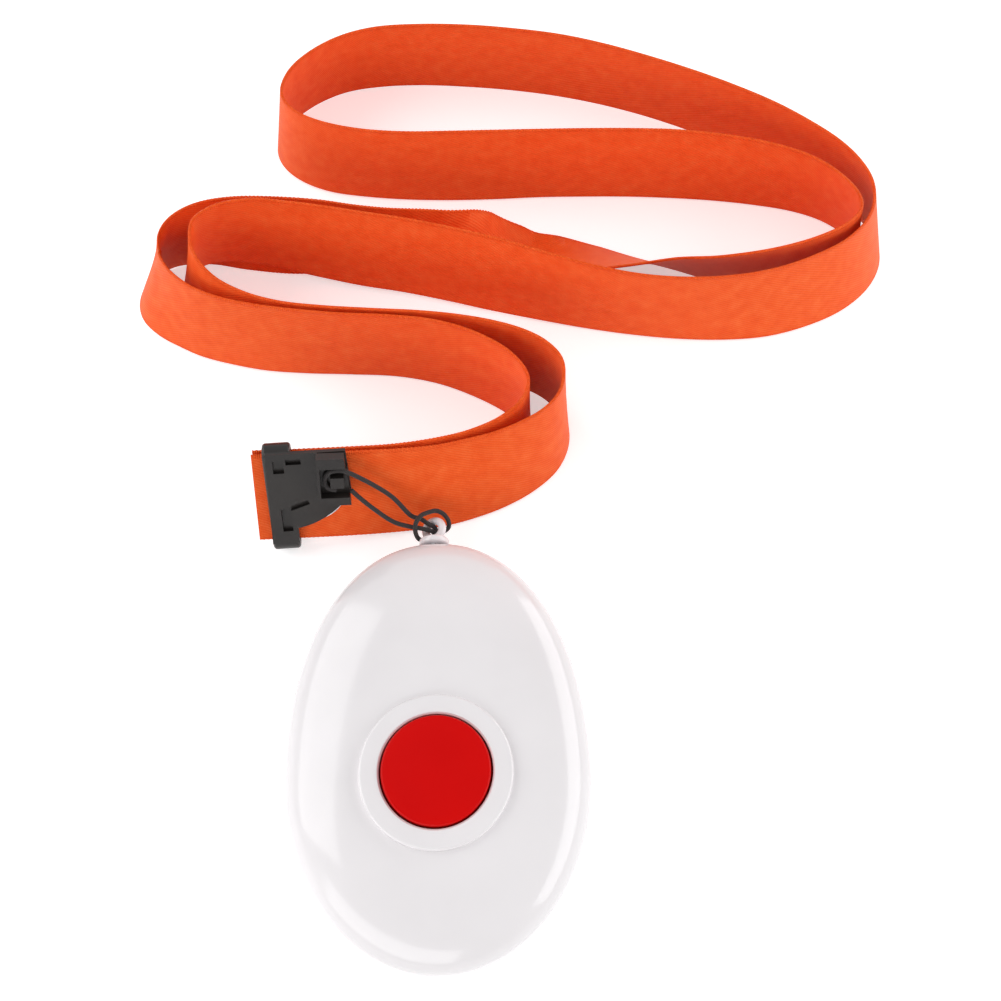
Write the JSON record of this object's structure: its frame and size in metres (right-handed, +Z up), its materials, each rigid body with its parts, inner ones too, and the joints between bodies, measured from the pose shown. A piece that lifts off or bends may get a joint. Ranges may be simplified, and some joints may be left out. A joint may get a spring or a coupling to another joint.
{
  "type": "wireless nurse call pendant button",
  "caption": "Egg-shaped call pendant with a sprung push button, swivel eyelet, string tether, ribbon clip and folded neck ribbon.",
  "frame": {"origin": "under the middle of the pendant and its eyelet, on the surface that its flat back lies on", "axes": "+Z up out of the button face, +Y along the pendant towards the eyelet, +X to the right seen from above"},
  "size_m": [0.1662, 0.2038, 0.0245],
  "materials": {
    "white_shell": "gloss",
    "red_button": "satin",
    "grey_rubber": "matte",
    "green_board": "satin",
    "black_plastic": "satin",
    "ivory_plastic": "matte",
    "blue_sleeve": "gloss",
    "bright_steel": "polished",
    "screw_steel": "satin",
    "brass_strip": "satin",
    "orange_ribbon": "satin",
    "dark_cord": "matte"
  },
  "bodies": {
    "root": {"front_shell": "white_shell", "back_cover": "white_shell", "case_gasket": "grey_rubber", "circuit_board": "green_board", "switch_body": "black_plastic", "return_spring": "screw_steel", "battery_cell": "bright_steel", "battery_holder": "ivory_plastic", "battery_contact": "brass_strip", "antenna_coil": "brass_strip", "encoder_chip": "black_plastic", "crystal_can": "bright_steel", "capacitor": "blue_sleeve", "case_screw_1": "screw_steel", "case_screw_2": "screw_steel", "case_screw_3": "screw_steel", "case_screw_4": "screw_steel", "board_screw_1": "screw_steel", "board_screw_2": "screw_steel", "clip_frame": "black_plastic", "clip_back_plate": "black_plastic", "clip_disc": "bright_steel", "string_block": "black_plastic", "neck_ribbon": "orange_ribbon", "string_loop": "dark_cord"},
    "button": {"button_cap": "red_button"},
    "plunger": {"switch_plunger": "ivory_plastic"},
    "eyelet_swivel": {"eyelet": "white_shell", "eyelet_retainer": "screw_steel", "string_hitch": "dark_cord"}
  },
  "joints": [
    {"name": "button_press", "type": "slide", "parent": "root", "child": "button", "axis": [0, 0, -1], "range_m": [0, 0.0008], "stiffness_N_per_m": 600, "springref_m": -0.001, "deforming": ["return_spring"]},
    {"name": "plunger_press", "type": "slide", "parent": "root", "child": "plunger", "axis": [0, 0, -1], "range_m": [0, 0.0008]},
    {"name": "eyelet_turn", "type": "hinge", "parent": "root", "child": "eyelet_swivel", "pos_m": [0, 0.036, 0.007], "axis": [0, 1, 0], "range_deg": [-15, 15]}
  ],
  "couplings": [
    {"joint": "plunger_press", "follows": "button_press", "ratio": 1}
  ]
}
